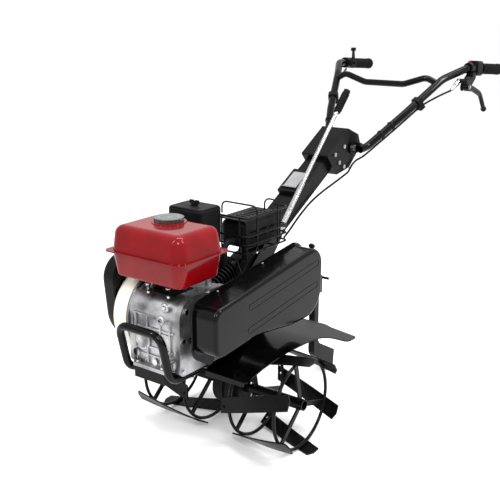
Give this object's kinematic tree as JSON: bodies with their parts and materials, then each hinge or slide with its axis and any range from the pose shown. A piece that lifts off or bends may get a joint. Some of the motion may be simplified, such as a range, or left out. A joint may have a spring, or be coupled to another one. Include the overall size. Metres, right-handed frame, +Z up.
{
  "type": "walk-behind rotary tiller",
  "caption": "Walk-behind petrol tiller with bladed tine wheels, belt cover, engine, drag stake, tilting handlebar, shift lever and clutch lever.",
  "frame": {"origin": "middle of the bounding box, on the ground", "axes": "+Z up, +Y towards the handlebar, +X to the machine's left"},
  "size_m": [0.584, 1.5073, 0.993],
  "materials": {
    "red_paint": "gloss",
    "black_paint": "gloss",
    "black_cast": "satin",
    "cast_aluminium": "cast",
    "black_aluminium": "matt",
    "cream_paint": "satin",
    "bright_steel": "zinc plated",
    "black_plastic": "matt",
    "grey_plastic": "satin",
    "red_plastic": "gloss",
    "black_rubber": "matt"
  },
  "bodies": {
    "frame": {"crankcase": "cast_aluminium", "case_cover": "cast_aluminium", "bolts_and_plugs": "bright_steel", "cylinder": "black_aluminium", "rocker_cover": "black_paint", "spark_plug": "black_rubber", "fan_housing": "cream_paint", "recoil_cover": "black_paint", "fuel_tank_upper": "red_paint", "fuel_tank_lower": "red_paint", "carburettor": "cast_aluminium", "air_cleaner_base": "black_plastic", "air_cleaner_cover": "black_plastic", "muffler": "black_paint", "heat_shield": "black_paint", "wire_guard": "black_paint", "engine_base": "black_paint", "front_bumper": "black_paint", "belt_backplate": "black_paint", "belt_cover": "black_paint", "v_belt": "black_rubber", "gearbox_left": "black_cast", "gearbox_right": "black_cast", "drive_chain": "bright_steel", "left_mud_guard": "black_paint", "right_mud_guard": "black_paint", "hitch_arm": "black_paint", "mast": "black_paint", "console": "black_paint", "gear_indicator": "grey_plastic", "mast_cables": "black_plastic"},
    "wheels": {"axle_shaft": "bright_steel", "left_wheel_frame": "black_paint", "right_wheel_frame": "black_paint", "tine_blades": "black_paint"},
    "layshaft": {"layshaft": "bright_steel"},
    "crank": {"crankshaft": "bright_steel", "flywheel_fan": "black_aluminium", "crank_pulley": "bright_steel"},
    "input": {"input_shaft": "bright_steel", "driven_pulley": "bright_steel"},
    "idler": {"idler_arm": "bright_steel"},
    "idler_wheel": {"idler_roller": "bright_steel"},
    "starter": {"starter_grip": "black_plastic"},
    "cap": {"fuel_cap": "bright_steel"},
    "choke": {"choke_lever": "black_plastic"},
    "shift": {"shift_lever": "bright_steel", "shift_grip": "black_rubber"},
    "handlebar": {"handle_arms": "black_paint", "cross_bar": "black_paint", "hand_grips": "black_rubber", "clutch_bracket": "black_paint", "cable_adjuster": "bright_steel", "switch_housing": "black_plastic", "throttle_body": "black_plastic", "handle_cables": "black_plastic"},
    "clutch": {"clutch_lever": "black_paint"},
    "button": {"kill_button": "red_plastic"},
    "throttle": {"throttle_lever": "black_plastic"},
    "stake": {"drag_stake": "black_paint"}
  },
  "joints": [
    {"name": "axle_spin", "type": "hinge", "parent": "frame", "child": "wheels", "pos_m": [0, -0.388, 0.13259], "axis": [1, 0, 0], "continuous": true},
    {"name": "layshaft_spin", "type": "hinge", "parent": "frame", "child": "layshaft", "pos_m": [0, -0.348, 0.338], "axis": [1, 0, 0], "continuous": true},
    {"name": "crank_spin", "type": "hinge", "parent": "frame", "child": "crank", "pos_m": [0, -0.608, 0.396], "axis": [1, 0, 0], "continuous": true},
    {"name": "input_spin", "type": "hinge", "parent": "frame", "child": "input", "pos_m": [0, -0.333, 0.44], "axis": [1, 0, 0], "continuous": true},
    {"name": "idler_swing", "type": "hinge", "parent": "frame", "child": "idler", "pos_m": [0.136, -0.42, 0.424], "axis": [1, 0, 0], "range_deg": [-7, 0]},
    {"name": "idler_spin", "type": "hinge", "parent": "idler", "child": "idler_wheel", "pos_m": [0.156, -0.481, 0.43163], "axis": [1, 0, 0], "continuous": true},
    {"name": "clutch_squeeze", "type": "hinge", "parent": "handlebar", "child": "clutch", "pos_m": [0.24282, 0.49067, 0.88767], "axis": [1, 0, 0], "range_deg": [0, 20], "stiffness_Nm_per_rad": 1, "springref_deg": -20.05},
    {"name": "kill_press", "type": "slide", "parent": "handlebar", "child": "button", "axis": [0.0451, 0.9965, -0.0697], "range_m": [0, 0.004], "stiffness_N_per_m": 400, "springref_m": -0.001},
    {"name": "throttle_turn", "type": "hinge", "parent": "handlebar", "child": "throttle", "pos_m": [-0.21257, 0.5738, 0.94003], "axis": [1, 0, 0], "range_deg": [0, 55]},
    {"name": "shift_swing", "type": "hinge", "parent": "frame", "child": "shift", "pos_m": [0.045, -0.228, 0.556], "axis": [1, 0, 0], "range_deg": [-6, 6]},
    {"name": "handle_tilt", "type": "hinge", "parent": "frame", "child": "handlebar", "pos_m": [0, 0.134, 0.722], "axis": [1, 0, 0], "range_deg": [-15, 15]},
    {"name": "stake_slide", "type": "slide", "parent": "frame", "child": "stake", "axis": [0, 0, -1], "range_m": [0, 0.06]},
    {"name": "cap_turn", "type": "hinge", "parent": "frame", "child": "cap", "pos_m": [-0.015, -0.619, 0.64], "axis": [0, 0, 1], "range_deg": [0, 90]},
    {"name": "choke_turn", "type": "hinge", "parent": "frame", "child": "choke", "pos_m": [-0.066, -0.49, 0.54], "axis": [1, 0, 0], "range_deg": [0, 70]},
    {"name": "starter_pull", "type": "slide", "parent": "frame", "child": "starter", "axis": [0, 1, 0], "range_m": [0, 0.12], "stiffness_N_per_m": 60, "springref_m": -0.02}
  ],
  "couplings": [
    {"joint": "layshaft_spin", "follows": "axle_spin", "ratio": 3.5075},
    {"joint": "idler_swing", "follows": "clutch_squeeze", "ratio": -0.325}
  ]
}
